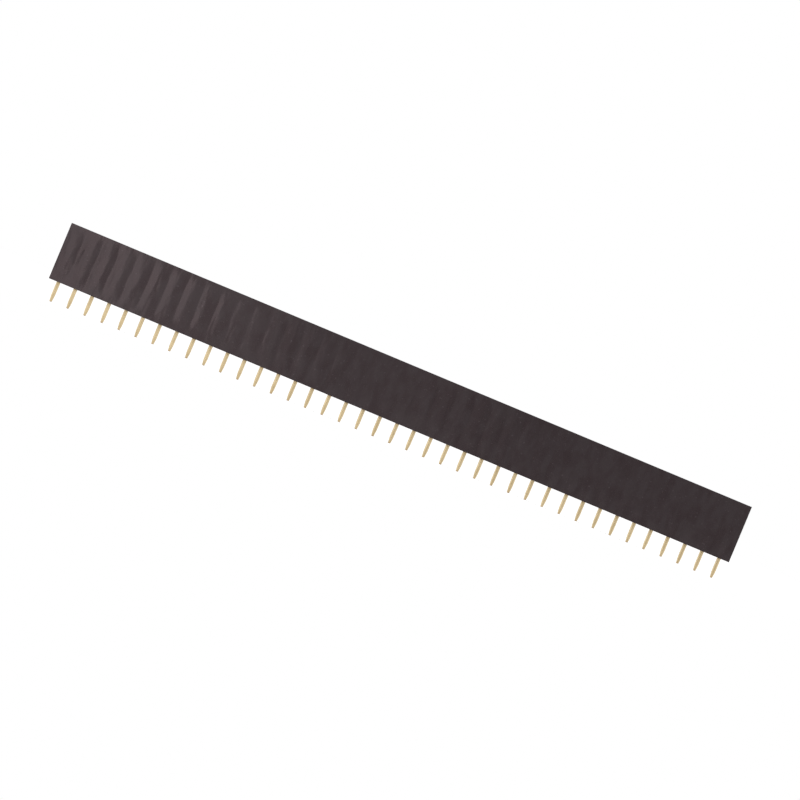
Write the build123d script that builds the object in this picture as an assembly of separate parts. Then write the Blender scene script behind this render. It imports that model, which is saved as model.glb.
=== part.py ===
from build123d import *

import os

# Female pin header strip: one moulded housing and a folded spring contact in each of its sockets.
# Millimetres. X runs along the row, Y across it and Z up from the circuit board. The origin lies on the
# board's surface under the middle of the row, so the housing stands on Z = 0 and the tails reach below it.

# Row of sockets
ways = 40
pitch = 2.54
end_margin = 1.44

# Moulded housing
body_width = 2.5
body_height = 8.3
edge_break = 0.1

# Lead-in at the top of each socket
mouth_side = 1.6
throat_side = 0.9
funnel_depth = 0.6
roof_thickness = 1.1

# Sheet that every contact is stamped and folded from
sheet = 0.2
fold_bevel = 0.12

# Folded base of a contact, a U seen from above, open towards the front
base_width = 1.7
base_depth = 1.3
base_lift = 1.3
base_height = 1.5

# Barb on the front edge of each wing, which bites on the housing's front wall
barb_reach = 0.1
barb_height = 0.4
barb_drop = 0.35

# Spring beams, which rise from the wings, pinch the plugged pin and flare open above it
beam_root_width = 0.8
beam_tip_width = 0.6
contact_gap = 0.44
contact_point_drop = 1.2
tip_opening = 0.9
tip_clearance = 0.3

# Solder tail, which cranks from the base's back plate to the middle of the row
tail_width = 0.55
tail_length = 2.9
tail_tip_width = 0.34
tail_taper_length = 0.9
crank_drop = 0.15
crank_lift = 0.2
crank_bend_radius = 0.3

# Room round a contact, and the overrun of every cut
side_clearance = 0.05
overrun = 0.5

# Sizes that follow from the ones above
row_length = (ways - 1) * pitch
body_length = row_length + 2 * end_margin
roof_level = body_height - roof_thickness
stop_level = base_lift + base_height
pocket_width = base_width + 2 * side_clearance
pocket_depth = base_depth + barb_reach
back_face = pocket_depth / 2
front_wall = -pocket_depth / 2
front_edge = back_face - base_depth
plate_middle = back_face - sheet / 2
wing_inside = base_width / 2 - sheet
beam_top = roof_level - tip_clearance


def socket_void():
    """Space inside the housing at one way: lead-in, throat, spring chamber and contact pocket."""
    near = (mouth_side - throat_side) / 2
    far = (mouth_side + throat_side) / 2
    centred = (Align.CENTER, Align.MIN, Align.CENTER)
    funnel = Wedge(mouth_side, funnel_depth, mouth_side, near, near, far, far, align=centred)
    lead_in = Pos(0, 0, body_height) * Rot(X=-90) * funnel
    inside_chamber = Plane.XY.offset(roof_level - overrun)
    throat = extrude(inside_chamber * Rectangle(throat_side, throat_side), roof_thickness + overrun)
    # The chamber's back wall stands forward of the pocket's by one sheet, and that ledge stops the contact.
    chamber_depth = pocket_depth - sheet
    chamber = Pos(0, -sheet / 2, 0) * extrude(Rectangle(pocket_width, chamber_depth), roof_level)
    below_board = Plane.XY.offset(-overrun)
    pocket = extrude(below_board * Rectangle(pocket_width, pocket_depth), stop_level + overrun)
    return lead_in + throat + chamber + pocket


def housing():
    """Moulded bar with softened edges and one socket for each way."""
    bar = Pos(0, 0, body_height / 2) * Box(body_length, body_width, body_height)
    bar = chamfer(bar.edges(), edge_break)
    void = socket_void()
    return bar - [Pos(x, 0, 0) * void for x in way_places()]


def folded_base():
    """Back plate and two wings folded forwards from it, with a barb on the front edge of each wing."""
    outer = Pos(0, back_face - base_depth / 2) * Rectangle(base_width, base_depth)
    outer = chamfer(outer.vertices().group_by(Axis.Y)[-1], fold_bevel)
    inner = Pos(0, back_face - sheet - base_depth / 2) * Rectangle(2 * wing_inside, base_depth)
    base = extrude(Plane.XY.offset(base_lift) * (outer - inner), base_height)
    tooth_top = stop_level - barb_drop
    tooth = Polygon(
        (front_edge, tooth_top),
        (front_wall, tooth_top - barb_height),
        (front_edge, tooth_top - barb_height),
        align=None,
    )
    barb = extrude(Plane.YZ.offset(wing_inside) * tooth, sheet)
    return base + barb + mirror(barb, Plane.YZ)


def beam():
    """Spring beam on the right-hand wing: it leans in to the pin, turns there and flares open to its tip."""
    inside = [
        (wing_inside, stop_level - sheet),
        (wing_inside, stop_level + sheet),
        (contact_gap / 2, beam_top - contact_point_drop),
        (tip_opening / 2, beam_top),
    ]
    outside = [(x + sheet, z) for x, z in reversed(inside)]
    profile = Polygon(*inside, *outside, align=None)
    strip = extrude(Plane.XZ * profile, base_depth / 2, both=True)
    outline = Polygon(
        (-beam_root_width / 2, stop_level - sheet),
        (beam_root_width / 2, stop_level - sheet),
        (beam_tip_width / 2, beam_top),
        (-beam_tip_width / 2, beam_top),
        align=None,
    )
    return strip & extrude(Plane.YZ * outline, base_width)


def solder_tail():
    """Tail that leaves the back plate, cranks to the middle of the row and tapers to its tip below."""
    path = FilletPolyline(
        (plate_middle, base_lift + sheet),
        (plate_middle, base_lift - crank_drop),
        (0, crank_lift),
        (0, -tail_length),
        radius=crank_bend_radius,
    )
    strip = extrude(Plane.YZ * trace(path, sheet), tail_width / 2, both=True)
    taper_start = tail_taper_length - tail_length
    outline = Polygon(
        (-tail_width / 2, base_lift + sheet),
        (-tail_width / 2, taper_start),
        (-tail_tip_width / 2, -tail_length),
        (tail_tip_width / 2, -tail_length),
        (tail_width / 2, taper_start),
        (tail_width / 2, base_lift + sheet),
        align=None,
    )
    return strip & extrude(Plane.XZ * outline, pocket_depth, both=True)


def contact():
    """One contact at the middle of the row, stamped and folded from a single sheet."""
    right_beam = beam()
    return folded_base() + right_beam + mirror(right_beam, Plane.YZ) + solder_tail()


def way_places():
    """X of every contact's axis, from the first to the last."""
    return [way * pitch - row_length / 2 for way in range(ways)]


def main():
    os.makedirs("parts", exist_ok=True)
    export_step(housing(), "parts/housing.step")
    one_contact = contact()
    for way, x in enumerate(way_places(), start=1):
        export_step(Pos(x, 0, 0) * one_contact, f"parts/contact_{way:02d}.step")


main()
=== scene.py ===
import bmesh
import bpy
import numpy as np
from bpy.props import FloatProperty, FloatVectorProperty, IntProperty, PointerProperty
from bpy.types import NodeSocket, Operator, Panel, PropertyGroup
from mathutils import Matrix, Vector


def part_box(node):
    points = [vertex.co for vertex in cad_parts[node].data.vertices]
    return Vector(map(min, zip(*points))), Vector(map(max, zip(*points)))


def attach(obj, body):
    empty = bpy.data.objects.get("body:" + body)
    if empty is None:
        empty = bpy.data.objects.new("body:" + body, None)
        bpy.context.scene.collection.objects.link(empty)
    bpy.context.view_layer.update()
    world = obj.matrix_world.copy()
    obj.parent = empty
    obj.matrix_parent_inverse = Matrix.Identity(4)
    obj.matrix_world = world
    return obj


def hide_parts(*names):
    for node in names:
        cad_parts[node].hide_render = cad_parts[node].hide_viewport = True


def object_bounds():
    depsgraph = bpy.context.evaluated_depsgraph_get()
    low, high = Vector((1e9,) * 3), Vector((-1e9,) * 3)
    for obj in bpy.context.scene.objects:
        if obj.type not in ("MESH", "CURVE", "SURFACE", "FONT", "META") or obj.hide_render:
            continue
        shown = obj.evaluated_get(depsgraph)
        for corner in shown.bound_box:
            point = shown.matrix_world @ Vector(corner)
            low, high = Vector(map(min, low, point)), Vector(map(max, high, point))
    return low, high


# Female pin header strip: a moulded housing with a folded spring contact in each of its sockets.
# Metres. X runs along the row, Y across it and Z up from the circuit board, whose surface is Z = 0.

bl_info = {
    "name": "Female pin header strip",
    "version": (1, 0, 0),
    "blender": (4, 5, 0),
    "location": "3D View > Sidebar > Header strip",
    "description": "Builds a strip's moulded housing, its spring contacts and the studio round it",
    "category": "Object",
}

# What the frame gives: the whole box, the housing's box, and each contact's axis along the row
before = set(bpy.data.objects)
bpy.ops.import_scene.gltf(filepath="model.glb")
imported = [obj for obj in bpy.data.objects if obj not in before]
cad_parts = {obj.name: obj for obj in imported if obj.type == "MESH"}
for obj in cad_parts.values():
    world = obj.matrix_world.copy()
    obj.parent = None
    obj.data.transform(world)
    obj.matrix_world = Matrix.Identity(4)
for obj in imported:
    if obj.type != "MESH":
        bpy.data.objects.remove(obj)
cad_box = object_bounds()
housing_low, housing_high = np.array([list(corner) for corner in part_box("housing")])
contact_nodes = sorted(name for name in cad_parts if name.startswith("contact_"))
contact_boxes = np.array([[list(corner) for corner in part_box(name)] for name in contact_nodes])
contact_axes = contact_boxes[:, :, 0].mean(axis=1)
pitch = (contact_axes[-1] - contact_axes[0]) / (len(contact_axes) - 1)
tail_tip_level, beam_top = contact_boxes[0, :, 2]
pocket_front, pocket_back = contact_boxes[0, :, 1]
contact_width = contact_boxes[0, 1, 0] - contact_boxes[0, 0, 0]

# Points this close are one point, and edges of the housing that turn by more than this angle stay sharp
merge_distance = 1e-6
sharp_angle = np.radians(50)

# Number of points along each stretch of the grids
cell_points = 13
width_points = 5
height_points = 23
lip_points = 3
fold_points = 7
crank_points = 6
taper_points = 8
floor_points = 9

# Places near an edge in radii, across half a tail in half widths, and from a socket to its cell's border
edge_shares = np.array([0, 0.45, 1, 1.6])
rim_shares = np.array([0, 0.15, 0.45, 1, 1.4])
tail_shares = np.array([0, 0.3, 0.55, 0.72, 0.84, 0.93, 0.98, 1])
ring_share = 0.35

# Room that a bend takes on both sides of its corner: a beam's bends in sheets, the tail's in crank drops
beam_trim_shares = np.array([0.9, 2])
crank_trim_shares = np.array([0.9, 1])

# Powers of the way down with which a tail narrows and strays, and how much its tip is rounded off
taper_power = 1.4
stray_power = 1.5
tip_round_share = 0.3

# The view: its side in pixels, its near and far limits, the way to the camera, and the middle of the face
view_pixels = 800
clip_range = (0.01, 10)
to_camera = Vector((0, -1, 0))
face_middle = Vector((0, housing_low[1], (housing_low[2] + housing_high[2]) / 2))


def linear(hex_colour):
    """Linear red, green and blue of an sRGB colour such as #1A2B3C. Each value v becomes v / 12.92 up to
    0.04045, and ((v + 0.055) / 1.055)^2.4 above."""
    srgb = np.array([int(hex_colour[i:i + 2], 16) for i in (1, 3, 5)]) / 255
    low, high = srgb / 12.92, ((srgb + 0.055) / 1.055) ** 2.4
    return tuple(float(value) for value in np.where(srgb <= 0.04045, low, high))


def length(label, text, default):
    """A size that a user may change, in metres."""
    return FloatProperty(name=label, description=text, default=default, unit="LENGTH", precision=6)


def share(label, text, default):
    """A part of a whole that a user may change, from 0 to 1."""
    return FloatProperty(name=label, description=text, default=default, min=0, max=1, subtype="FACTOR")


def angle(label, text, degrees):
    """An angle that a user may change, written in degrees and kept in radians."""
    return FloatProperty(name=label, description=text, default=np.radians(degrees), subtype="ANGLE")


def colour(label, text, hex_colour):
    """A colour that a user may change, written as sRGB and kept as linear."""
    return FloatVectorProperty(name=label, description=text, default=linear(hex_colour), subtype="COLOR",
                               size=3, min=0, max=1)


def place(label, text, default):
    """A place that a user may change, in metres."""
    return FloatVectorProperty(name=label, description=text, default=default, subtype="TRANSLATION",
                               size=3, unit="LENGTH", precision=4)


def radiance(label, text, default):
    """Brightness of a lamp that a user may change, where 1 is white paper in full light."""
    return FloatProperty(name=label, description=text, default=default, min=0)


class HousingSizes(PropertyGroup):
    """Sizes of the moulded housing, its sockets and its sink marks"""
    edge_radius: length("Edge radius", "Rounding of the housing's outer edges", 0.00003)
    mouth_side: length("Mouth side", "Side of a socket's square mouth", 0.0016)
    throat_side: length("Throat side", "Side of the square hole that guides a pin", 0.0009)
    funnel_depth: length("Funnel depth", "Depth of the lead-in below the top face", 0.0006)
    roof_thickness: length("Roof thickness", "From the top face to the chamber's ceiling", 0.0011)
    stop_level: length("Stop level", "Height of the ledge that stops a contact", 0.0028)
    side_clearance: length("Side clearance", "Room on each side of a contact", 0.00005)
    ledge: length("Ledge", "Depth of the ledge above a contact's back plate", 0.0002)
    lip_radius: length("Lip radius", "Softening of the sockets' edges", 0.00005)
    corner_radius: length("Corner radius", "Rounding of a socket's upright corners", 0.00008)
    sink_depth: length("Sink depth", "Depth of the sink marks over the walls between sockets", 0.000055)
    sink_shift: length("Sink shift", "How far the sink marks lie to the left of their walls", 0.00015)
    sink_sway: length("Sink sway", "How far a sink mark may stray from that place", 0.00010)
    sink_spread: share("Sink spread", "How much the sink marks differ in depth", 0.15)
    sink_crease: share("Sink crease", "Roundness of a sink mark's bottom", 0.15)
    fade_above: length("Fade above", "Height over which the sink marks fade below the top edge", 0.0016)
    fade_below: length("Fade below", "Height over which they fade above the bottom edge", 0.0022)
    seed: IntProperty(name="Seed", description="Picks the sink marks' small differences", default=374)


class ContactSizes(PropertyGroup):
    """Sizes of the folded spring contacts"""
    sheet: length("Sheet", "Thickness of the sheet metal", 0.0002)
    edge_radius: length("Edge radius", "Rounding of the stamped edges", 0.00008)
    fold_radius: length("Fold radius", "Radius of a fold at the middle of the sheet", 0.00015)
    base_depth: length("Base depth", "Depth of the folded base from back to front", 0.0013)
    base_lift: length("Base lift", "Height of the base above the board", 0.0013)
    base_height: length("Base height", "Height of the folded base", 0.0015)
    barb_height: length("Barb height", "Height of the slope of a barb", 0.0004)
    barb_drop: length("Barb drop", "From the base's top edge down to a barb", 0.00035)
    beam_root_width: length("Beam root width", "Width of a beam where it leaves its wing", 0.0008)
    beam_tip_width: length("Beam tip width", "Width of a beam at its tip", 0.0006)
    contact_gap: length("Contact gap", "Gap between the beams where they grip a pin", 0.00044)
    contact_drop: length("Contact drop", "From the beams' tips down to that point", 0.0012)
    tip_opening: length("Tip opening", "Gap between the beams' tips", 0.0009)
    tail_width: length("Tail width", "Width of a solder tail", 0.00055)
    tail_tip_width: length("Tail tip width", "Width of a solder tail at its tip", 0.00034)
    tail_taper: length("Tail taper", "Length of the tail's tapered end", 0.0010)
    crank_drop: length("Crank drop", "Straight run of the tail below the base", 0.00015)
    crank_lift: length("Crank lift", "Height at which the tail is straight again", 0.0002)
    tail_crown: FloatProperty(
        name="Tail crown",
        description="Power of a tail's rounded section: 2 is an ellipse, 8 nearly square",
        default=2.3, min=2, max=8)
    tip_wander: length("Tip wander", "How far a tail's tip may stray sideways", 0.00003)
    seed: IntProperty(name="Seed", description="Picks the tails' small differences", default=11)


class StripFinish(PropertyGroup):
    """Colours and surface detail of the housing and the contacts"""
    polyester: colour("Polyester", "Resin-rich skin of the housing", "#1F1619")
    polyester_fibre: colour("Fibre-rich polyester", "Skin where glass fibre lies near it", "#272224")
    fleck: colour("Fleck", "Ends of glass fibre in the skin", "#3A3437")
    sheen: colour("Sheen", "Tint of what the housing's skin mirrors", "#FFE7EA")
    patch_size: length("Patch size", "Size of the resin-rich and fibre-rich patches", 0.0022)
    hollow_width: length("Hollow width", "Width of the skin's shallow hollows", 0.0009)
    hollow_height: length("Hollow height", "Height of those hollows, the way the melt rose", 0.0024)
    hollow_depth: length("Hollow depth", "Depth of those hollows", 0.000030)
    fleck_size: length("Fleck size", "Size of the flecks of glass fibre", 0.0003)
    grain_size: length("Grain size", "Grain of the mould's spark-eroded face", 0.00022)
    grain_height: length("Grain height", "Height of that grain", 0.000001)
    skin_gloss: share("Skin roughness", "Roughness of the resin-rich skin", 0.14)
    skin_satin: share("Fibre roughness", "Roughness of the fibre-rich skin", 0.18)
    gold: colour("Gold", "Yellow flash on the contacts", "#E8D4AC")
    # Rosy gold is the colour of the thinner flash in patches, and also painted shade along each tail's
    # middle.
    rosy_gold_and_shade: colour("Rosy gold", "Flash that is thin over the bronze", "#C7B189")
    bronze: colour("Bronze", "Bare strip where a tail was sheared off", "#B98F62")
    flash_size: length("Flash size", "Size of the patches where the gold is thin", 0.0030)
    # Share of the browner colour that is painted shade along a tail's middle, the rest being patches of
    # thinner flash.
    painted_shade_share: share("Flash core", "How far thin gold keeps to a tail's middle and not to patches", 0.7)
    sheared: length("Sheared height", "Height of the bare metal at a tail's tip", 0.00012)
    line_width: length("Line width", "Width of the rolling lines as drawn", 0.00008)
    line_length: length("Line length", "Length of the rolling lines", 0.0011)
    line_height: length("Line height", "Height of the rolling lines", 0.000002)
    metal_bright: share("Bright roughness", "Roughness between the rolling lines", 0.34)
    metal_dull: share("Dull roughness", "Roughness on the rolling lines", 0.48)


class StudioSettings(PropertyGroup):
    """Camera, floor, lamps and white surroundings"""
    camera_distance: length("Camera distance", "From the housing's front face", 1.5)
    frame_width: length("Frame width", "Width of the view at the housing's front face", 0.11063)
    strip_angle: angle("Strip angle", "Fall of the row from left to right in the view", 22.685)
    centre_column: FloatProperty(
        name="Centre column", description="Housing's middle, in columns of the view", default=400.36)
    centre_row: FloatProperty(
        name="Centre row", description="Housing's middle, in rows of the view", default=392.60)
    floor_size: length("Floor size", "Side of the square floor", 3.0)
    floor_front: length("Floor front", "How far the floor reaches in front of the strip", 0.10)
    floor_colour: colour("Floor", "Matt white paper", "#F3F3F2")
    floor_lift: share("Floor lift", "White that the view and reflections see on the floor", 0.35)
    ambient: share("Ambient", "Soft light from all round", 0.85)
    front_level: share("Front level", "Brightness that reflections see on the studio's open side", 0.69)
    front_turn: angle("Front turn", "How far right of the camera that open side lies", 14)
    front_inner: angle("Front inner angle", "Half angle of that open side", 14)
    front_outer: angle("Front outer angle", "Half angle at which the studio is white again", 53)
    left_place: place("Left softbox", "Middle of the softbox at the left", (-0.0597, -0.161, 0.004))
    left_width: length("Left width", "Width of that softbox", 0.0305)
    left_height: length("Left height", "Height of that softbox", 0.030)
    left_radiance: radiance("Left radiance", "Brightness of that softbox", 1.18)
    fill_place: place("Left fill", "Middle of a dim strip of light near the left third",
                      (-0.0330, -0.052, 0.0065))
    fill_width: length("Fill width", "Width of that strip", 0.034)
    fill_height: length("Fill height", "Height of that strip", 0.019)
    fill_radiance: radiance("Fill radiance", "Brightness of that strip", 0.24)
    wide_place: place("Wide fill", "Middle of a dimmer strip that reaches past the middle",
                      (-0.0315, -0.070, 0.0065))
    wide_width: length("Wide fill width", "Width of that strip", 0.087)
    wide_height: length("Wide fill height", "Height of that strip", 0.019)
    wide_radiance: radiance("Wide fill radiance", "Brightness of that strip", 0.17)
    top_place: place("Top softbox", "Middle of the softbox overhead", (0.10, -0.10, 0.55))
    top_width: length("Top width", "Width of that softbox", 0.40)
    top_height: length("Top height", "Height of that softbox", 0.40)
    top_radiance: radiance("Top radiance", "Brightness of that softbox", 0.5)


def raw_mesh(name, patches):
    """A mesh of grids: each patch is an array of points, rows by columns by three, and its quads join
    point (i, j) to (i, j + 1), (i + 1, j + 1) and (i + 1, j). Points that coincide are merged."""
    points = np.concatenate([patch.reshape(-1, 3) for patch in patches])
    sizes = np.array([patch.shape[0] * patch.shape[1] for patch in patches])
    starts = np.concatenate([[0], np.cumsum(sizes)[:-1]])
    quads = [grid_quads(*patch.shape[:2]) + start for patch, start in zip(patches, starts)]
    quads = np.concatenate(quads)
    mesh = bpy.data.meshes.new(name)
    mesh.vertices.add(len(points))
    mesh.vertices.foreach_set("co", points.astype(np.float32).ravel())
    mesh.loops.add(quads.size)
    mesh.loops.foreach_set("vertex_index", quads.astype(np.int32).ravel())
    mesh.polygons.add(len(quads))
    mesh.polygons.foreach_set("loop_start", np.arange(0, quads.size, 4, dtype=np.int32))
    mesh.update(calc_edges=True)
    merged = bmesh.new()
    merged.from_mesh(mesh)
    bmesh.ops.remove_doubles(merged, verts=merged.verts, dist=merge_distance)
    bmesh.ops.recalc_face_normals(merged, faces=merged.faces)
    merged.to_mesh(mesh)
    merged.free()
    mesh.polygons.foreach_set("use_smooth", np.ones(len(mesh.polygons), dtype=bool))
    return mesh


def grid_quads(rows, columns):
    """Quads of a grid whose point (i, j) is number i * columns + j."""
    first = (np.arange(rows - 1)[:, None] * columns + np.arange(columns - 1)[None, :]).ravel()
    return np.stack([first, first + 1, first + columns + 1, first + columns], axis=1)


def bent(corners, trims, points):
    """A polyline whose inner corners are bent: each corner c gives way to the curve
    (1-q)^2 a + 2 q (1-q) c + q^2 b, where a and b lie a trim length from c along its two runs."""
    corners = np.asarray(corners, dtype=float)
    before, corner, after = corners[:-2], corners[1:-1], corners[2:]
    trims = np.broadcast_to(trims, len(corner))[:, None]
    start = corner + trims * (before - corner) / np.linalg.norm(before - corner, axis=1, keepdims=True)
    end = corner + trims * (after - corner) / np.linalg.norm(after - corner, axis=1, keepdims=True)
    q = np.linspace(0, 1, points)[None, :, None]
    curves = (1 - q) ** 2 * start[:, None] + 2 * q * (1 - q) * corner[:, None] + q ** 2 * end[:, None]
    return np.concatenate([corners[:1], curves.reshape(-1, corners.shape[1]), corners[-1:]])


def on_plane(first, second, level, axis):
    """Grid of points over two lists of coordinates, at one level of the third axis."""
    one, two = np.meshgrid(first, second, indexing="ij")
    coordinates = [one, two]
    coordinates.insert(axis, np.full(one.shape, level))
    return np.stack(coordinates, axis=-1)


def between_edges(axis, edge, points):
    """Coordinates from one outer face of the housing to the opposite one: at the given distances from each
    edge, and even between them."""
    low, high = housing_low[axis] + edge, housing_high[axis] - edge[::-1]
    return np.concatenate([low, np.linspace(low[-1], high[0], points)[1:-1], high])


def rounded(points, low, high, radius):
    """Points of a sharp box moved to the box with rounded edges: each is clipped to the box shrunk by the
    radius, and then set a radius away from there, towards where it was."""
    core = np.clip(points, low + radius, high - radius)
    away = points - core
    return core + away * radius / np.linalg.norm(away, axis=-1, keepdims=True)


def loop_of(across, along, half_x, half_y):
    """Closed loop round a rectangle, from its front left corner and back to it. Across and along run from
    -1 to 1 and give the points on the front and back sides and on the left and right sides."""
    ones_x, ones_y = np.ones(len(across) - 1), np.ones(len(along) - 1)
    x = np.concatenate([across[:-1], ones_y, across[:0:-1], -ones_y, across[:1]])
    y = np.concatenate([-ones_x, along[:-1], ones_x, along[:0:-1], -ones_x[:1]])
    return np.stack([x * half_x, y * half_y], axis=-1)


def socket_loops(sizes, across, along):
    """Profile of a socket from the top face down to the bottom face, carried round its rectangular
    section. Each row of the profile holds half width, half depth, middle in Y, and height, and its corners
    are bent. A section's upright corners are rounded as the housing's edges are."""
    top, lip = housing_high[2], sizes.lip_radius
    mouth, throat = sizes.mouth_side / 2, sizes.throat_side / 2
    roof = top - sizes.roof_thickness
    half_width = contact_width / 2 + sizes.side_clearance
    half_depth = (pocket_back - pocket_front) / 2
    ledge = sizes.ledge / 2
    profile = bent(
        [
            (mouth + lip, mouth + lip, 0, top),
            (mouth, mouth, 0, top),
            (throat, throat, 0, top - sizes.funnel_depth),
            (throat, throat, 0, roof),
            (half_width, half_depth - ledge, -ledge, roof),
            (half_width, half_depth - ledge, -ledge, sizes.stop_level + lip),
            (half_width, half_depth, 0, sizes.stop_level),
            (half_width, half_depth, 0, 0),
            (half_width + lip, half_depth + lip, 0, 0),
        ],
        lip / 2,
        lip_points,
    )
    half_x, half_y, middle, height = profile.T[:, :, None]
    unit = loop_of(across, along, 1, 1)
    x, y = unit[:, 0] * half_x, unit[:, 1] * half_y
    corner = sizes.corner_radius
    core_x = np.clip(x, corner - half_x, half_x - corner)
    core_y = np.clip(y, corner - half_y, half_y - corner)
    reach = np.hypot(x - core_x, y - core_y)
    x = core_x + (x - core_x) * corner / reach
    y = core_y + (y - core_y) * corner / reach + middle
    return np.stack([x, y, np.broadcast_to(height, x.shape)], axis=-1)


def sunk(sizes, points):
    """Outer points moved in by the sink marks. The moulding shrinks most where the walls between sockets
    meet its broad faces and stays proud over each socket, as a ridge
    r = sqrt((1 - c^2) cos(pi p)^2 + c^2), where c is the crease and p is a whole number on each socket's
    axis and a half at each wall and each end. The mark is depth * (1 - m - f (r - m)): m is the ridges'
    mean, 2 / pi, and f falls smoothly from 1 to 0 at the top and bottom edges, which set first. Depth and
    place differ a little from socket to socket, and the marks sway with the height. Each point takes the
    mark of the broad face on its side, in proportion to how far it lies beyond the sockets' rims."""
    x, y, z = np.moveaxis(points, -1, 0)
    low, high = housing_low, housing_high
    walls = (contact_axes[:-1] + contact_axes[1:]) / 2
    places = np.sort(np.concatenate([low[:1], contact_axes, walls, high[:1]]))
    height = (z - low[2]) / (high[2] - low[2])
    fade = np.minimum((high[2] - z) / sizes.fade_above, (z - low[2]) / sizes.fade_below)
    fade = np.clip(fade, 0, 1)
    fade = fade ** 2 * (3 - 2 * fade)
    half_rim = max(sizes.mouth_side / 2, (pocket_back - pocket_front) / 2) + sizes.lip_radius
    draws = np.random.default_rng(sizes.seed).uniform(-1, 1, (2, 4, len(contact_axes)))
    mean_ridge = 2 / np.pi
    moved = y
    for inwards, of_face in ((1, draws[0]), (-1, draws[1])):
        still, bow, wave, depth = (np.interp(x, contact_axes, row) for row in of_face)
        sway = still + bow * np.sin(np.pi * height) + wave * np.sin(2 * np.pi * height)
        swayed = x + sizes.sink_shift - sizes.sink_sway * sway
        p = (np.interp(swayed, places, np.arange(len(places))) - 1) / 2
        ridge = np.sqrt((1 - sizes.sink_crease ** 2) * np.cos(np.pi * p) ** 2 + sizes.sink_crease ** 2)
        depth = sizes.sink_depth * (1 + sizes.sink_spread * depth)
        mark = depth * (1 - mean_ridge - fade * (ridge - mean_ridge))
        beyond_rim = np.clip((-inwards * y - half_rim) / (high[1] - half_rim), 0, 1)
        moved = moved + inwards * mark * beyond_rim
    return np.stack([x, moved, z], axis=-1)


def housing_patches(sizes):
    """Outer faces as grids over a sharp box, then rounded at its edges; on the top and bottom faces each
    socket has a ring of points from its edge out to its cell's border, and its own walls inside."""
    low, high, radius = housing_low, housing_high, sizes.edge_radius
    edge = radius * edge_shares

    # Coordinates along the three axes, close together at the rounded edges and where two cells meet
    even = np.linspace(-1, 1, cell_points)
    cell = (even + np.sin(np.pi / 2 * even)) / 2
    in_cells = (contact_axes[:, None] + cell[:-1] * pitch / 2).ravel()
    row = np.append(in_cells, contact_axes[-1] + pitch / 2)
    left, right = low[0] + edge, high[0] - edge[::-1]
    x = np.concatenate([left, row, right])
    y = between_edges(1, edge, width_points)
    z = between_edges(2, edge, height_points)

    sides = [on_plane(x, z, level, 1) for level in (low[1], high[1])]
    sides += [on_plane(y, z, level, 0) for level in (low[0], high[0])]
    caps = [
        on_plane(part, y, level, 2)
        for level in (low[2], high[2])
        for part in (np.append(left, row[0]), np.append(row[-1], right))
    ]

    # Points stand closer at a socket's corners than along its sides.
    across, along = (np.sin(np.pi / 2 * np.linspace(-1, 1, count)) for count in (len(cell), len(y)))
    socket = socket_loops(sizes, across, along)
    half_y = (high[1] - low[1]) / 2
    border = loop_of(cell, y / half_y, pitch / 2, half_y)
    rings = []
    for hole, level in ((socket[0], high[2]), (socket[-1], low[2])):
        gap = half_y - hole[:, 1].max()
        outwards = np.concatenate([[0, ring_share], 1 - edge[::-1] / gap])[:, None, None]
        ring = (1 - outwards) * hole[:, :2] + outwards * border
        rings.append(np.concatenate([ring, np.full(ring.shape[:2] + (1,), level)], axis=-1))
    moves = np.stack([contact_axes, np.zeros_like(contact_axes), np.zeros_like(contact_axes)], axis=-1)
    sockets = list(moves[:, None, None] + socket)
    flats = [move + ring for ring in rings for move in moves]
    return [sunk(sizes, rounded(face, low, high, radius)) for face in sides + caps + flats] + sockets


def rim(distance, radius):
    """Share of the sheet's half thickness at a distance d from its rim, a quarter circle of radius r:
    sqrt(1 - (1 - d/r)^2)."""
    return np.sqrt(1 - (1 - np.clip(distance / radius, 0, 1)) ** 2)


def crown(sizes, x):
    """Share of the sheet's half thickness at x across a tail of half width h: sqrt(1 - |x/h|^n), where n
    is the tail's crown, and nothing past its sides."""
    return np.sqrt(np.clip(1 - np.abs(x / (sizes.tail_width / 2)) ** sizes.tail_crown, 0, 1))


def skins(middle, normal, half_thickness):
    """The two faces of a sheet: its middle surface moved both ways along its normal, by the half thickness
    at each point."""
    move = normal * half_thickness[..., None]
    return [middle + move, middle - move]


def directions(path):
    """Unit vectors along a path of points in a plane, as two columns of coordinates."""
    along = np.gradient(path, axis=0)
    along = along / np.linalg.norm(along, axis=1, keepdims=True)
    return along.T[:, :, None]


def sheet_places(sizes):
    """Where the grids of a contact's middle surface meet: Y of the back plate, X of the right wing, and Z
    of the base's top edge."""
    half = sizes.sheet / 2
    return pocket_back - half, contact_width / 2 - half, sizes.base_lift + sizes.base_height


def beam_stations(sizes):
    """Places across a beam in Y, from its back rim to its front rim, close together at both."""
    half_root, inset = sizes.beam_root_width / 2, sizes.edge_radius * rim_shares
    return np.concatenate([half_root - inset, [0], inset[::-1] - half_root])


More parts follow.
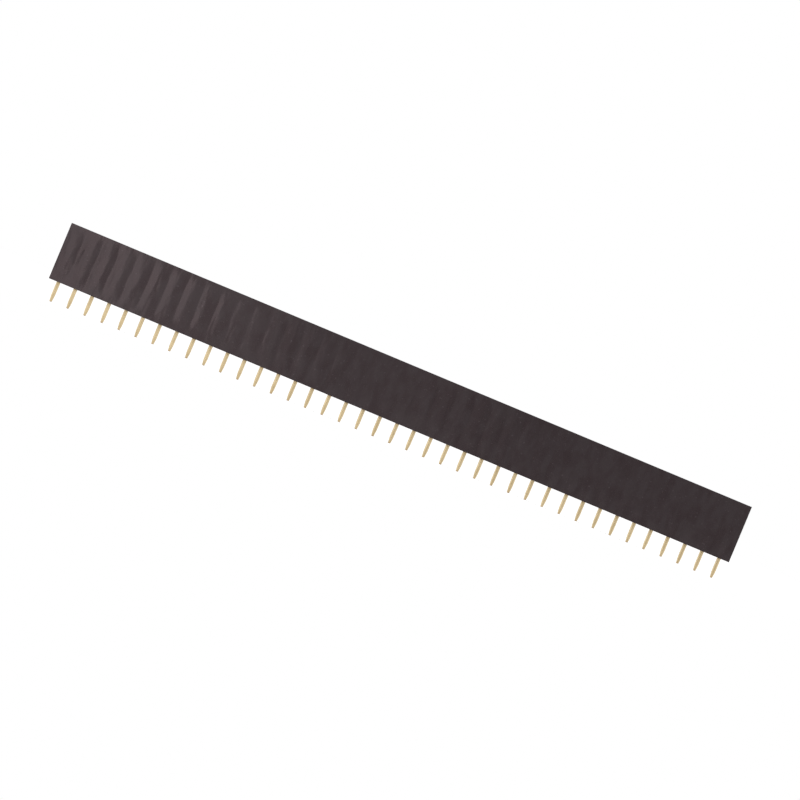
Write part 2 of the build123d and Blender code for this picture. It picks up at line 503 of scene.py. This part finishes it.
def base_faces(sizes):
    """Folded base: a U seen from above, carried up in Z, with a barb on the front edge of each wing. Its
    back plate takes the tail's places across and its wings the beams', so that the grids share borders."""
    plate, wing, top = sheet_places(sizes)
    front = pocket_back - sizes.base_depth
    radius, edge = sizes.fold_radius, sizes.edge_radius
    half_root, half_tail = sizes.beam_root_width / 2, sizes.tail_width / 2
    inset = edge * rim_shares

    # The U from the middle of its back plate to the front edge of its right wing, with its normal's turn
    # from X, and then mirrored
    turn = np.linspace(np.pi / 2, 0, fold_points)
    on_plate = half_tail * tail_shares
    on_wing = np.concatenate([beam_stations(sizes), front + inset[::-1]])
    right_x = np.concatenate([
        on_plate, wing - radius + radius * np.cos(turn), np.full(len(on_wing), wing)])
    right_y = np.concatenate([
        np.full(len(on_plate), plate), plate - radius + radius * np.sin(turn), on_wing])
    right_turn = np.concatenate([np.full(len(on_plate), np.pi / 2), turn, np.zeros(len(on_wing))])
    u_x = np.concatenate([-right_x[:0:-1], right_x])
    u_y = np.concatenate([right_y[:0:-1], right_y])
    u_turn = np.concatenate([np.pi - right_turn[:0:-1], right_turn])

    # A barb leans out from its front edge: sloped above, and stepped back over half that height below.
    tooth_top = top - sizes.barb_drop
    tooth_low = tooth_top - sizes.barb_height
    heel = sizes.barb_height / 2
    z = np.concatenate([
        sizes.base_lift + inset,
        [tooth_low - heel, tooth_low, tooth_top - heel, tooth_top],
        top - inset[::-1],
    ])
    slope, step = (tooth_top - z) / sizes.barb_height, (z - tooth_low) / heel + 1
    tooth = np.clip(np.minimum(slope, step), 0, 1)
    lean = np.clip((-half_root - u_y) / (-half_root - front - inset[-1]), 0, 1)
    middle = np.empty((len(z), len(u_x), 3))
    middle[..., 0], middle[..., 2] = u_x, z[:, None]
    middle[..., 1] = u_y - (front - pocket_front) * tooth[:, None] * lean
    normal = np.stack([np.cos(u_turn), np.sin(u_turn), np.zeros_like(u_turn)], axis=-1)

    # The sheet is rounded off at its rims, but goes on where a beam rises or the tail hangs from it.
    in_beam = np.where(np.abs(u_x) > wing - merge_distance, rim(half_root - np.abs(u_y), edge), 0)
    in_tail = np.where(u_y > plate - merge_distance, crown(sizes, u_x), 0)
    upper = np.maximum(rim(top - z, edge)[:, None], in_beam)
    lower = np.maximum(rim(z - sizes.base_lift, edge)[:, None], in_tail)
    shape = np.minimum(np.minimum(upper, lower), rim(u_y - front, edge))
    return skins(middle, normal, sizes.sheet / 2 * shape)


def beam_faces(sizes):
    """Two spring beams: a row of points across a beam, carried along its bent side view, with a width that
    shrinks evenly from root to tip. The left beam mirrors the right one."""
    wing, root = sheet_places(sizes)[1:]
    half, edge = sizes.sheet / 2, sizes.edge_radius
    inset = edge * rim_shares
    path = bent(
        [
            (wing, root),
            (wing, root + sizes.sheet),
            (sizes.contact_gap / 2 + half, beam_top - sizes.contact_drop),
            (sizes.tip_opening / 2 + half, beam_top - inset[-1]),
        ],
        sizes.sheet * beam_trim_shares,
        fold_points,
    )
    flare = (path[-1] - path[-2]) / (path[-1, 1] - path[-2, 1])
    path = np.concatenate([path, path[-1] + flare * (inset[-1] - inset[-2::-1, None])])
    x, z = path.T[:, :, None]
    across = beam_stations(sizes)
    rise = (z - root) / (beam_top - root)
    width = 1 - rise * (1 - sizes.beam_tip_width / sizes.beam_root_width)
    beside_rim = rim(sizes.beam_root_width / 2 - np.abs(across), edge)
    half_thickness = half * np.minimum(beside_rim, rim(beam_top - z, edge))
    along_x, along_z = directions(path)
    faces = []
    for side in (1, -1):
        middle = np.stack(np.broadcast_arrays(side * x, width * across, z), axis=-1)
        normal = np.stack(np.broadcast_arrays(side * along_z, 0, -along_x), axis=-1)
        faces += skins(middle, normal, half_thickness)
    return faces


def tail_faces(sizes, stray):
    """Solder tail: a row of points across it, carried along its cranked side view. Over the taper it
    narrows by a power of the way down, and its tip is rounded off. Stray moves the tip in X and Y, by a
    power of the way down too, and skews it."""
    plate = sheet_places(sizes)[0]
    half_tail, edge = sizes.tail_width / 2, sizes.edge_radius
    inset = edge * rim_shares
    taper_start, taper_end = tail_tip_level + sizes.tail_taper, tail_tip_level + inset[-1]
    path = bent(
        [
            (plate, sizes.base_lift),
            (plate, sizes.base_lift - sizes.crank_drop),
            (0, sizes.crank_lift),
            (0, taper_start),
        ],
        sizes.crank_drop * crank_trim_shares,
        crank_points,
    )
    taper = np.linspace(taper_start, taper_end, taper_points)[1:]
    down = np.concatenate([taper, tail_tip_level + inset[-2::-1]])
    path = np.concatenate([path, np.stack([np.zeros_like(down), down], axis=-1)])
    y, z = path.T[:, :, None]
    across = half_tail * np.concatenate([-tail_shares[:0:-1], tail_shares])
    tip = rim(z - tail_tip_level, edge)
    below = np.clip((taper_start - z) / sizes.tail_taper, 0, 1)
    narrowing = (1 - sizes.tail_tip_width / sizes.tail_width) * below ** taper_power
    width = (1 - narrowing) * (1 - tip_round_share + tip_round_share * tip)
    drop = np.clip(z / tail_tip_level, 0, 1) ** stray_power
    skew = below ** 2 * stray[2] * (across / half_tail + np.sign(stray[2])) / 2
    middle = np.stack(np.broadcast_arrays(
        width * across + stray[0] * drop, y + stray[1] * drop, z + skew), axis=-1)
    along_y, along_z = directions(path)
    normal = np.stack(np.broadcast_arrays(0, -along_z, along_y), axis=-1)
    return skins(middle, normal, sizes.sheet / 2 * np.minimum(crown(sizes, across), tip))


def contact_patches(sizes, axis, stray):
    """One contact, stamped and folded from a sheet. Its middle surface is four grids that share their
    borders, the base, two beams and the tail, and the sheet's two faces lie half its thickness from there
    and meet at its rounded rims. Stray gives how far the tail's tip moves in X and Y and is skewed."""
    faces = base_faces(sizes) + beam_faces(sizes) + tail_faces(sizes, stray)
    return [face + [axis, 0, 0] for face in faces]


def add_node(tree, kind, inputs=None, **settings):
    """Adds a node. Settings are its own attributes. Inputs gives its sockets, by name or number, either a
    value or the output of another node to link from."""
    node = tree.nodes.new(kind)
    for name, value in settings.items():
        setattr(node, name, value)
    for name, value in (inputs or {}).items():
        if isinstance(value, NodeSocket):
            tree.links.new(value, node.inputs[name])
        else:
            node.inputs[name].default_value = value
    return node


def new_material(name):
    """A material with an empty node tree."""
    material = bpy.data.materials.new(name)
    material.use_nodes = True
    material.node_tree.nodes.clear()
    return material


def moulded_polyester(finish):
    """Glass-filled thermoplastic polyester, injection moulded in a spark-eroded cavity. To the eye it is a
    warm near-black with a satin face: shallow hollows break up what it mirrors, cloudy patches where fibre
    lies near the skin are a little paler and duller, and the ends of fibres show as paler flecks."""
    material = new_material("glass_filled_polyester_moulded")
    tree = material.node_tree
    where = add_node(tree, "ShaderNodeTexCoord").outputs["Object"]
    patches = add_node(tree, "ShaderNodeTexNoise", {
        "Vector": where, "Scale": 1 / finish.patch_size, "Detail": 3.0, "Roughness": 0.6})
    hollow_scale = (1 / finish.hollow_width, 1 / finish.hollow_width, 1 / finish.hollow_height)
    rise = add_node(tree, "ShaderNodeMapping", {"Vector": where, "Scale": hollow_scale})
    mottle = add_node(tree, "ShaderNodeTexNoise", {
        "Vector": rise.outputs["Vector"], "Scale": 1.0, "Detail": 1.0, "Roughness": 0.5})
    # A fibre is about 0.01 mm thick, too fine for the view, so a fleck stands for a bundle of them.
    bundles = add_node(tree, "ShaderNodeTexNoise", {
        "Vector": where, "Scale": 1 / finish.fleck_size, "Detail": 1.0, "Roughness": 0.5})
    # The real grain is about 0.03 mm, too fine for the view, so it is drawn some seven times as coarse.
    grain = add_node(tree, "ShaderNodeTexNoise", {
        "Vector": where, "Scale": 1 / finish.grain_size, "Detail": 2.0, "Roughness": 0.5})
    cloud = add_node(tree, "ShaderNodeMath", {
        0: patches.outputs["Fac"], 1: mottle.outputs["Fac"]}, operation="ADD")
    fibre = add_node(tree, "ShaderNodeMapRange", {
        "Value": cloud.outputs["Value"], "From Min": 0.8, "From Max": 1.2})
    flecks = add_node(tree, "ShaderNodeMapRange", {
        "Value": bundles.outputs["Fac"], "From Min": 0.66, "From Max": 0.76})
    skin = add_node(tree, "ShaderNodeMix", {
        0: fibre.outputs["Result"], 6: (*finish.polyester, 1), 7: (*finish.polyester_fibre, 1)},
        data_type="RGBA")
    face = add_node(tree, "ShaderNodeMix", {
        0: flecks.outputs["Result"], 6: skin.outputs[2], 7: (*finish.fleck, 1)}, data_type="RGBA")
    dullness = add_node(tree, "ShaderNodeMapRange", {
        "Value": fibre.outputs["Result"], "To Min": finish.skin_gloss, "To Max": finish.skin_satin})
    hollows = add_node(tree, "ShaderNodeBump", {
        "Height": mottle.outputs["Fac"], "Strength": 1.0, "Distance": finish.hollow_depth})
    grained = add_node(tree, "ShaderNodeBump", {
        "Height": grain.outputs["Fac"], "Strength": 1.0, "Distance": finish.grain_height,
        "Normal": hollows.outputs["Normal"]})
    shader = add_node(tree, "ShaderNodeBsdfPrincipled", {
        "Base Color": face.outputs[2], "Roughness": dullness.outputs["Result"], "IOR": 1.5,
        "Specular Tint": (*finish.sheen, 1), "Normal": grained.outputs["Normal"]})
    add_node(tree, "ShaderNodeOutputMaterial", {"Surface": shader.outputs["BSDF"]})
    return material


def gold_flashed_bronze(finish, tail_width):
    """Phosphor bronze strip, rolled, flashed with gold and stamped. To the eye it is a pale yellow metal
    with a half-bright face. It is browner in patches where the flash is thinner, and browner along the
    middle of each tail, where that colour is painted shade standing in for the darker middle between the
    tail's bright rounded edges. It has fine lines along the way the strip was rolled, and bare brown
    bronze shows at the tip of each tail, which was sheared after the gold went on."""
    material = new_material("phosphor_bronze_gold_flashed")
    tree = material.node_tree
    where = add_node(tree, "ShaderNodeTexCoord").outputs["Object"]
    flash = add_node(tree, "ShaderNodeTexNoise", {
        "Vector": where, "Scale": 1 / finish.flash_size, "Detail": 2.0, "Roughness": 0.5})
    patches = add_node(tree, "ShaderNodeMapRange", {
        "Value": flash.outputs["Fac"], "From Min": 0.4, "From Max": 0.65})
    # Painted shade: a browner band along each tail's middle line stands in for the darker middle between
    # the tail's bright rounded edges. That line is found by folding X about the contacts' axes, which
    # leaves the distance from the nearest one.
    split = add_node(tree, "ShaderNodeSeparateXYZ", {"Vector": where})
    along_row = add_node(tree, "ShaderNodeMath", {
        0: split.outputs["X"], 1: contact_axes[0]}, operation="SUBTRACT")
    from_axis = add_node(tree, "ShaderNodeMath", {
        0: along_row.outputs["Value"], 1: pitch / 2}, operation="PINGPONG")
    core = add_node(tree, "ShaderNodeMapRange", {
        "Value": from_axis.outputs["Value"], "From Min": 0.0, "From Max": tail_width / 2,
        "To Min": 1.0, "To Max": 0.0}, interpolation_type="SMOOTHSTEP")
    # Mixes the patches where the flash is thinner with the painted shade along each tail's middle.
    thin_flash_and_shade = add_node(tree, "ShaderNodeMix", {
        0: finish.painted_shade_share, 2: patches.outputs["Result"], 3: core.outputs["Result"]})
    # Rolling lines are about 0.01 mm apart, too fine for the view, so they are drawn eight times as wide.
    line_scale = (1 / finish.line_width, 1 / finish.line_width, 1 / finish.line_length)
    rolled = add_node(tree, "ShaderNodeMapping", {"Vector": where, "Scale": line_scale})
    lines = add_node(tree, "ShaderNodeTexNoise", {
        "Vector": rolled.outputs["Vector"], "Scale": 1.0, "Detail": 2.0, "Roughness": 0.5})
    sheared = add_node(tree, "ShaderNodeMapRange", {
        "Value": split.outputs["Z"],
        "From Min": tail_tip_level, "From Max": tail_tip_level + finish.sheared,
        "To Min": 1.0, "To Max": 0.0}, interpolation_type="SMOOTHSTEP")
    # Where rosy gold shows along a tail's middle, it is painted shade.
    plated = add_node(tree, "ShaderNodeMix", {
        0: thin_flash_and_shade.outputs[0], 6: (*finish.gold, 1), 7: (*finish.rosy_gold_and_shade, 1)}, data_type="RGBA")
    face = add_node(tree, "ShaderNodeMix", {
        0: sheared.outputs["Result"], 6: plated.outputs[2], 7: (*finish.bronze, 1)}, data_type="RGBA")
    dullness = add_node(tree, "ShaderNodeMapRange", {
        "Value": lines.outputs["Fac"], "From Min": 0.3, "From Max": 0.7,
        "To Min": finish.metal_bright, "To Max": finish.metal_dull})
    lined = add_node(tree, "ShaderNodeBump", {
        "Height": lines.outputs["Fac"], "Strength": 1.0, "Distance": finish.line_height})
    shader = add_node(tree, "ShaderNodeBsdfPrincipled", {
        "Base Color": face.outputs[2], "Metallic": 1.0, "Roughness": dullness.outputs["Result"],
        "Normal": lined.outputs["Normal"]})
    add_node(tree, "ShaderNodeOutputMaterial", {"Surface": shader.outputs["BSDF"]})
    return material


def matt_paper(studio):
    """White background paper, uncoated. It scatters light evenly and keeps the strip's shadow, and a share
    of white that only the view and reflections see lifts it to the white of the studio round it."""
    material = new_material("background_paper_matt")
    tree = material.node_tree
    rays = add_node(tree, "ShaderNodeLightPath")
    seen = add_node(tree, "ShaderNodeMath", {
        0: rays.outputs["Is Camera Ray"], 1: rays.outputs["Is Glossy Ray"]}, operation="MAXIMUM")
    seen = add_node(tree, "ShaderNodeMath", {
        0: seen.outputs["Value"], 1: rays.outputs["Is Transmission Ray"]}, operation="MAXIMUM")
    lift = add_node(tree, "ShaderNodeMath", {
        0: seen.outputs["Value"], 1: studio.floor_lift}, operation="MULTIPLY")
    paper = add_node(tree, "ShaderNodeBsdfDiffuse", {"Color": (*studio.floor_colour, 1)})
    white = add_node(tree, "ShaderNodeEmission", {"Strength": lift.outputs["Value"]})
    both = add_node(tree, "ShaderNodeAddShader", {
        0: paper.outputs["BSDF"], 1: white.outputs["Emission"]})
    add_node(tree, "ShaderNodeOutputMaterial", {"Surface": both.outputs["Shader"]})
    return material


def studio_world(studio):
    """White all round for the view. Reflections see that white dimmed round one direction, where the
    studio is open, and diffuse surfaces get an even soft light."""
    world = bpy.data.worlds.new("white_studio")
    world.use_nodes = True
    tree = world.node_tree
    tree.nodes.clear()
    rays = add_node(tree, "ShaderNodeLightPath")
    direction = add_node(tree, "ShaderNodeTexCoord").outputs["Generated"]
    open_side = (np.sin(studio.front_turn), -np.cos(studio.front_turn), 0)
    towards = add_node(tree, "ShaderNodeVectorMath", {
        0: direction, 1: open_side}, operation="DOT_PRODUCT")
    wall = add_node(tree, "ShaderNodeMapRange", {
        "Value": towards.outputs["Value"],
        "From Min": np.cos(studio.front_outer), "From Max": np.cos(studio.front_inner),
        "To Min": 1.0, "To Max": studio.front_level}, interpolation_type="SMOOTHSTEP")
    mirrored = add_node(tree, "ShaderNodeMath", {
        0: rays.outputs["Is Glossy Ray"], 1: rays.outputs["Is Transmission Ray"]}, operation="MAXIMUM")
    soft = add_node(tree, "ShaderNodeMix", {
        0: mirrored.outputs["Value"], 2: studio.ambient, 3: wall.outputs["Result"]})
    strength = add_node(tree, "ShaderNodeMath", {
        0: rays.outputs["Is Camera Ray"], 1: soft.outputs[0]}, operation="MAXIMUM")
    shader = add_node(tree, "ShaderNodeBackground", {
        "Color": (*linear("#FFFFFF"), 1), "Strength": strength.outputs["Value"]})
    add_node(tree, "ShaderNodeOutputWorld", {"Surface": shader.outputs["Background"]})
    return world


def add_piece(context, name, mesh, material, slot, *nodes):
    """Puts a finished mesh into the scene as a piece that stands for its CAD nodes."""
    mesh.materials.append(material)
    piece = bpy.data.objects.new(name, mesh)
    context.scene.collection.objects.link(piece)
    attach(piece, "root")
    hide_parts(*nodes)


def add_floor(context, studio):
    """A square of paper at the tails' tips, most of it behind the strip."""
    across = studio.floor_size * np.linspace(-0.5, 0.5, floor_points)
    along = studio.floor_size * np.linspace(0, 1, floor_points) - studio.floor_front
    mesh = raw_mesh("paper_floor", [on_plane(across, along, cad_box[0].z, 2)])
    mesh.materials.append(matt_paper(studio))
    floor = bpy.data.objects.new("paper_floor", mesh)
    context.scene.collection.objects.link(floor)


def add_softbox(context, name, seat, aim, width, height, brightness):
    """A rectangular lamp that faces a point. Its power is its radiance times its area times pi."""
    lamp = bpy.data.lights.new(name, "AREA")
    lamp.shape = "RECTANGLE"
    lamp.size, lamp.size_y = width, height
    lamp.energy = brightness * width * height * np.pi
    softbox = bpy.data.objects.new(name, lamp)
    softbox.location = seat
    softbox.visible_camera = False
    softbox.rotation_euler = (Vector(aim) - Vector(seat)).to_track_quat("-Z", "Y").to_euler()
    context.scene.collection.objects.link(softbox)


def add_camera(context, studio):
    """A camera square to the housing's front. It is rolled so that the row falls to the right by the
    strip's angle, and moved so that the housing's middle comes to its column and row of the view."""
    cosine, sine = np.cos(studio.strip_angle), np.sin(studio.strip_angle)
    right, up = Vector((cosine, 0, sine)), Vector((-sine, 0, cosine))
    pixel, half_view = studio.frame_width / view_pixels, view_pixels / 2
    aim = face_middle + right * (half_view - studio.centre_column) * pixel
    aim = aim + up * (studio.centre_row - half_view) * pixel
    camera = bpy.data.cameras.new("camera")
    camera.lens = camera.sensor_width * studio.camera_distance / studio.frame_width
    camera.clip_start, camera.clip_end = clip_range
    seat = bpy.data.objects.new("camera", camera)
    roll = Matrix((right, up, to_camera)).transposed().to_4x4()
    seat.matrix_world = Matrix.Translation(aim + to_camera * studio.camera_distance) @ roll
    context.scene.collection.objects.link(seat)
    context.scene.camera = seat


class HEADER_OT_housing(Operator):
    """Build the moulded housing with its row of sockets"""
    bl_idname = "header.housing"
    bl_label = "Moulded housing"

    def execute(self, context):
        sizes = context.scene.header_housing
        mesh = raw_mesh("moulded_housing", housing_patches(sizes))
        mesh.set_sharp_from_angle(angle=sharp_angle)
        material = moulded_polyester(context.scene.header_finish)
        add_piece(context, "moulded_housing", mesh, material, "housing_plastic", "housing")
        return {"FINISHED"}


class HEADER_OT_contacts(Operator):
    """Build the folded spring contact of every socket"""
    bl_idname = "header.contacts"
    bl_label = "Spring contacts"

    def execute(self, context):
        sizes = context.scene.header_contact
        material = gold_flashed_bronze(context.scene.header_finish, sizes.tail_width)
        draws = np.random.default_rng(sizes.seed)
        strays = sizes.tip_wander * draws.uniform(-1, 1, (len(contact_nodes), 3))
        for node, axis, stray in zip(contact_nodes, contact_axes, strays):
            name = node.replace("contact", "spring_contact")
            mesh = raw_mesh(name, contact_patches(sizes, axis, stray))
            add_piece(context, name, mesh, material, "contact_metal", node)
        return {"FINISHED"}


class HEADER_OT_studio(Operator):
    """Set up the paper floor, the soft lamps, the white world and the camera"""
    bl_idname = "header.studio"
    bl_label = "Studio"

    def execute(self, context):
        studio = context.scene.header_studio
        add_floor(context, studio)
        context.scene.world = studio_world(studio)
        parts = ("place", "width", "height", "radiance")
        for name in ("left", "fill", "wide", "top"):
            seat, *looks = (getattr(studio, f"{name}_{part}") for part in parts)
            aim = face_middle if name == "top" else Vector(seat) - to_camera
            add_softbox(context, name + "_softbox", seat, aim, *looks)
        add_camera(context, studio)
        context.scene.view_settings.view_transform = "Standard"
        return {"FINISHED"}


class HEADER_PT_strip(Panel):
    """Sizes, finishes and steps of the strip"""
    bl_idname = "HEADER_PT_strip"
    bl_label = "Header strip"
    bl_space_type = "VIEW_3D"
    bl_region_type = "UI"
    bl_category = "Header strip"

    def draw(self, context):
        steps = {"header_housing": HEADER_OT_housing, "header_contact": HEADER_OT_contacts,
                 "header_studio": HEADER_OT_studio}
        for group in groups:
            box = self.layout.box()
            if group in steps:
                box.operator(steps[group].bl_idname)
            settings = getattr(context.scene, group)
            for name in settings.__annotations__:
                box.prop(settings, name)


groups = {"header_housing": HousingSizes, "header_contact": ContactSizes, "header_finish": StripFinish,
          "header_studio": StudioSettings}
classes = (*groups.values(), HEADER_OT_housing, HEADER_OT_contacts, HEADER_OT_studio, HEADER_PT_strip)


def register():
    for kind in classes:
        bpy.utils.register_class(kind)
    for name, group in groups.items():
        setattr(bpy.types.Scene, name, PointerProperty(type=group))


def unregister():
    for name in groups:
        delattr(bpy.types.Scene, name)
    for kind in reversed(classes):
        bpy.utils.unregister_class(kind)


def main():
    register()
    bpy.ops.header.housing()
    bpy.ops.header.contacts()
    bpy.ops.header.studio()


if __name__ == "__main__":
    main()
